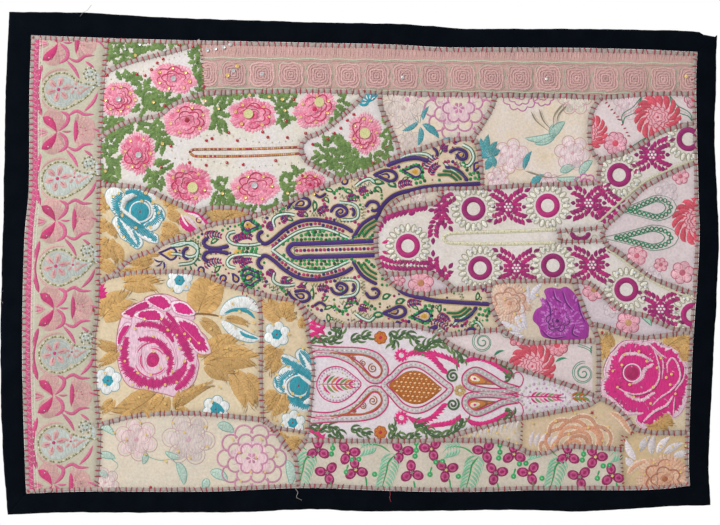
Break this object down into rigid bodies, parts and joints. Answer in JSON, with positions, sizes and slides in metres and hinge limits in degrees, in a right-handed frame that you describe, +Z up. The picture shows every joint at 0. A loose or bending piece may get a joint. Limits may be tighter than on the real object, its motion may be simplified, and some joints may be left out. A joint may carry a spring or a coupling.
{
  "type": "patchwork wall hanging",
  "caption": "Embroidered patchwork wall hanging of beaded floral patches with ribbon seams, in a dark cotton border.",
  "frame": {"origin": "middle of the cloth's top edge, on the cloth's middle surface", "axes": "+X to the right as seen from the front, +Y from the front towards the wall, +Z up"},
  "size_m": [1.104, 0.0106, 0.774],
  "materials": {
    "patchwork": "cotton and silk patches with raised thread embroidery, sequins and beads",
    "border": "matt plain-woven cotton, near black",
    "ribbon": "satin ribbon, silver grey, held down with dark red stitches"
  },
  "bodies": {
    "root": {"patchwork_panel": "patchwork", "border_top": "border", "border_bottom": "border", "border_left": "border", "border_right": "border", "edge_tape_top": "ribbon", "edge_tape_bottom": "ribbon", "edge_tape_left": "ribbon", "edge_tape_right": "ribbon"}
  },
  "joints": []
}
